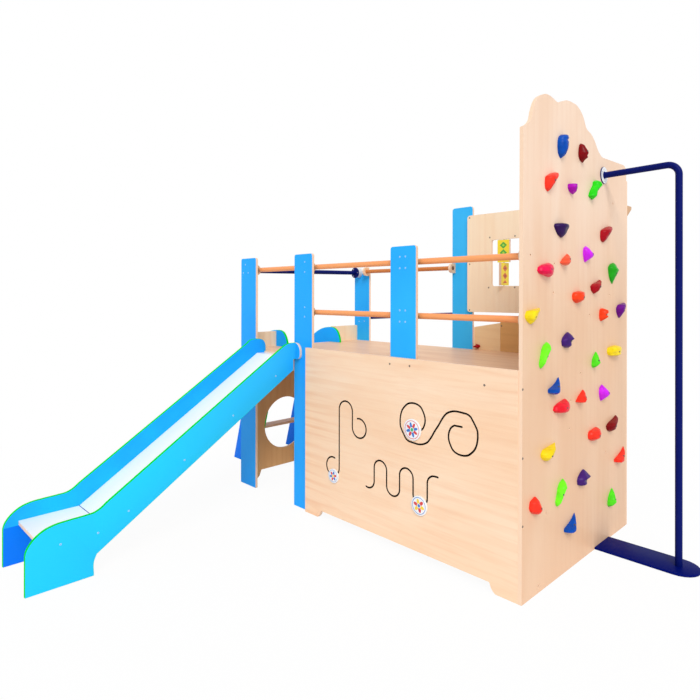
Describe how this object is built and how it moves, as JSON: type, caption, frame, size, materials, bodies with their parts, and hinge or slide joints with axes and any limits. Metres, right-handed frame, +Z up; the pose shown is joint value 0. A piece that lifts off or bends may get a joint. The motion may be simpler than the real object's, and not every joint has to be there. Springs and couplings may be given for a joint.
{
  "type": "play ship",
  "caption": "Outdoor wooden play ship: raised deck with slide, stair, climbing wall, groove board with sliding discs, window with turning plates, steel pole and bars.",
  "frame": {"origin": "on the floor, at the centre of the ship's outline seen from above", "axes": "+X along the groove board towards the climbing wall, +Y from the slide's foot towards the back, +Z up"},
  "size_m": [3.302, 4.33, 2.334],
  "materials": {
    "blue_ply": "blue paint on plywood, satin",
    "birch_ply": "clear-coated birch plywood",
    "wall_ply": "clear-coated pale birch plywood",
    "deck_ply": "matt film-faced plywood",
    "rail_wood": "varnished round timber",
    "brown_ply": "brown stained plywood",
    "yellow_ply": "yellow paint on plywood",
    "white_sheet": "smooth white sheet",
    "navy_steel": "gloss navy powder coat",
    "axle_steel": "plain steel rod",
    "resin_blue": "glossy cast resin",
    "resin_green": "glossy cast resin",
    "resin_plum": "glossy cast resin",
    "resin_crimson": "glossy cast resin",
    "resin_red": "glossy cast resin",
    "resin_yellow": "glossy cast resin",
    "resin_lime": "glossy cast resin"
  },
  "bodies": {
    "ship": {"post_front_left": "blue_ply", "post_front_middle": "blue_ply", "post_front_right": "blue_ply", "post_back_left": "blue_ply", "post_back_middle": "blue_ply", "post_wall": "birch_ply", "post_wedge": "brown_ply", "groove_board": "birch_ply", "climbing_wall": "wall_ply", "end_panel": "birch_ply", "window_panel": "birch_ply", "deck": "deck_ply", "deck_beam_front": "birch_ply", "deck_beam_back": "birch_ply", "toe_board_light": "birch_ply", "toe_board_dark": "brown_ply", "rail_upper_front_left": "rail_wood", "rail_upper_front_right": "rail_wood", "rail_lower_front_left": "rail_wood", "rail_lower_front_right": "rail_wood", "rail_back": "rail_wood", "lug_upper_left": "birch_ply", "lug_upper_middle": "birch_ply", "lug_upper_right_a": "birch_ply", "lug_upper_right_b": "birch_ply", "lug_lower_middle": "birch_ply", "lug_lower_right_a": "birch_ply", "lug_lower_right_b": "birch_ply", "lug_back_left": "birch_ply", "lug_back_right": "birch_ply", "ring_upper_wall": "birch_ply", "ring_lower_wall": "birch_ply", "grab_bar": "navy_steel", "rear_bar": "navy_steel", "fireman_pole": "navy_steel", "pole_base_plate": "navy_steel", "slide_side_near": "blue_ply", "slide_side_far": "blue_ply", "slide_bed": "birch_ply", "slide_sheet": "white_sheet", "slide_runout": "birch_ply", "slide_sill": "white_sheet", "slide_lug": "blue_ply", "stringer_near": "blue_ply", "stringer_far": "blue_ply", "tread_low": "birch_ply", "tread_high": "birch_ply", "window_axle": "axle_steel", "hold_blue_pear": "resin_blue", "hold_green_peanut": "resin_green", "hold_plum_heart": "resin_plum", "hold_crimson_wide": "resin_crimson", "hold_red_inner": "resin_red", "hold_yellow_round": "resin_yellow", "hold_lime_pear": "resin_lime"},
    "left_disc": {"disc_left": "white_sheet"},
    "middle_disc": {"disc_middle": "white_sheet"},
    "right_disc": {"disc_right": "white_sheet"},
    "lower_plate": {"plate_lower": "yellow_ply"},
    "upper_plate": {"plate_upper": "yellow_ply"}
  },
  "joints": [
    {"name": "disc_left_swing", "type": "hinge", "parent": "ship", "child": "left_disc", "pos_m": [-0.048, -0.609, 0.342], "axis": [0, -1, 0], "range_deg": [-208, 76]},
    {"name": "disc_middle_slide", "type": "slide", "parent": "ship", "child": "middle_disc", "axis": [1, 0, 0], "range_m": [0, 0.042]},
    {"name": "disc_right_swing", "type": "hinge", "parent": "ship", "child": "right_disc", "pos_m": [0.612, -0.609, 0.334], "axis": [0, -1, 0], "range_deg": [-88, 88]},
    {"name": "plate_lower_turn", "type": "hinge", "parent": "ship", "child": "lower_plate", "pos_m": [0.396, 0.5707, 1.509], "axis": [0, 0, 1], "continuous": true},
    {"name": "plate_upper_turn", "type": "hinge", "parent": "ship", "child": "upper_plate", "pos_m": [0.396, 0.5707, 1.668], "axis": [0, 0, 1], "continuous": true}
  ]
}
